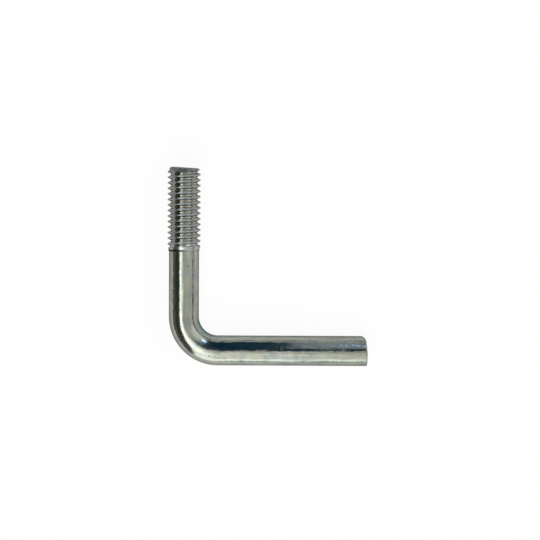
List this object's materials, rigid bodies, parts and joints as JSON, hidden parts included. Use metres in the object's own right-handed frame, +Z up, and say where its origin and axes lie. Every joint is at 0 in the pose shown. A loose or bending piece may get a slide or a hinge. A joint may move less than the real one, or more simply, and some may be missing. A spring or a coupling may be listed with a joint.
{
  "type": "l-shaped anchor bolt",
  "caption": "Round steel rod bent to a right angle: its threaded leg takes a nut, and its plain leg is cast in or hooked behind a rail.",
  "frame": {"origin": "on the surface that the bolt lies on, under the middle of its bounding box", "axes": "+Z up from that surface, +X along the plain leg towards its free end, +Y along the threaded leg towards its tip"},
  "size_m": [0.0576, 0.0572, 0.0095],
  "materials": {
    "zinc_plated_steel": "bright zinc plating"
  },
  "bodies": {
    "root": {"anchor_bolt": "zinc_plated_steel"}
  },
  "joints": []
}
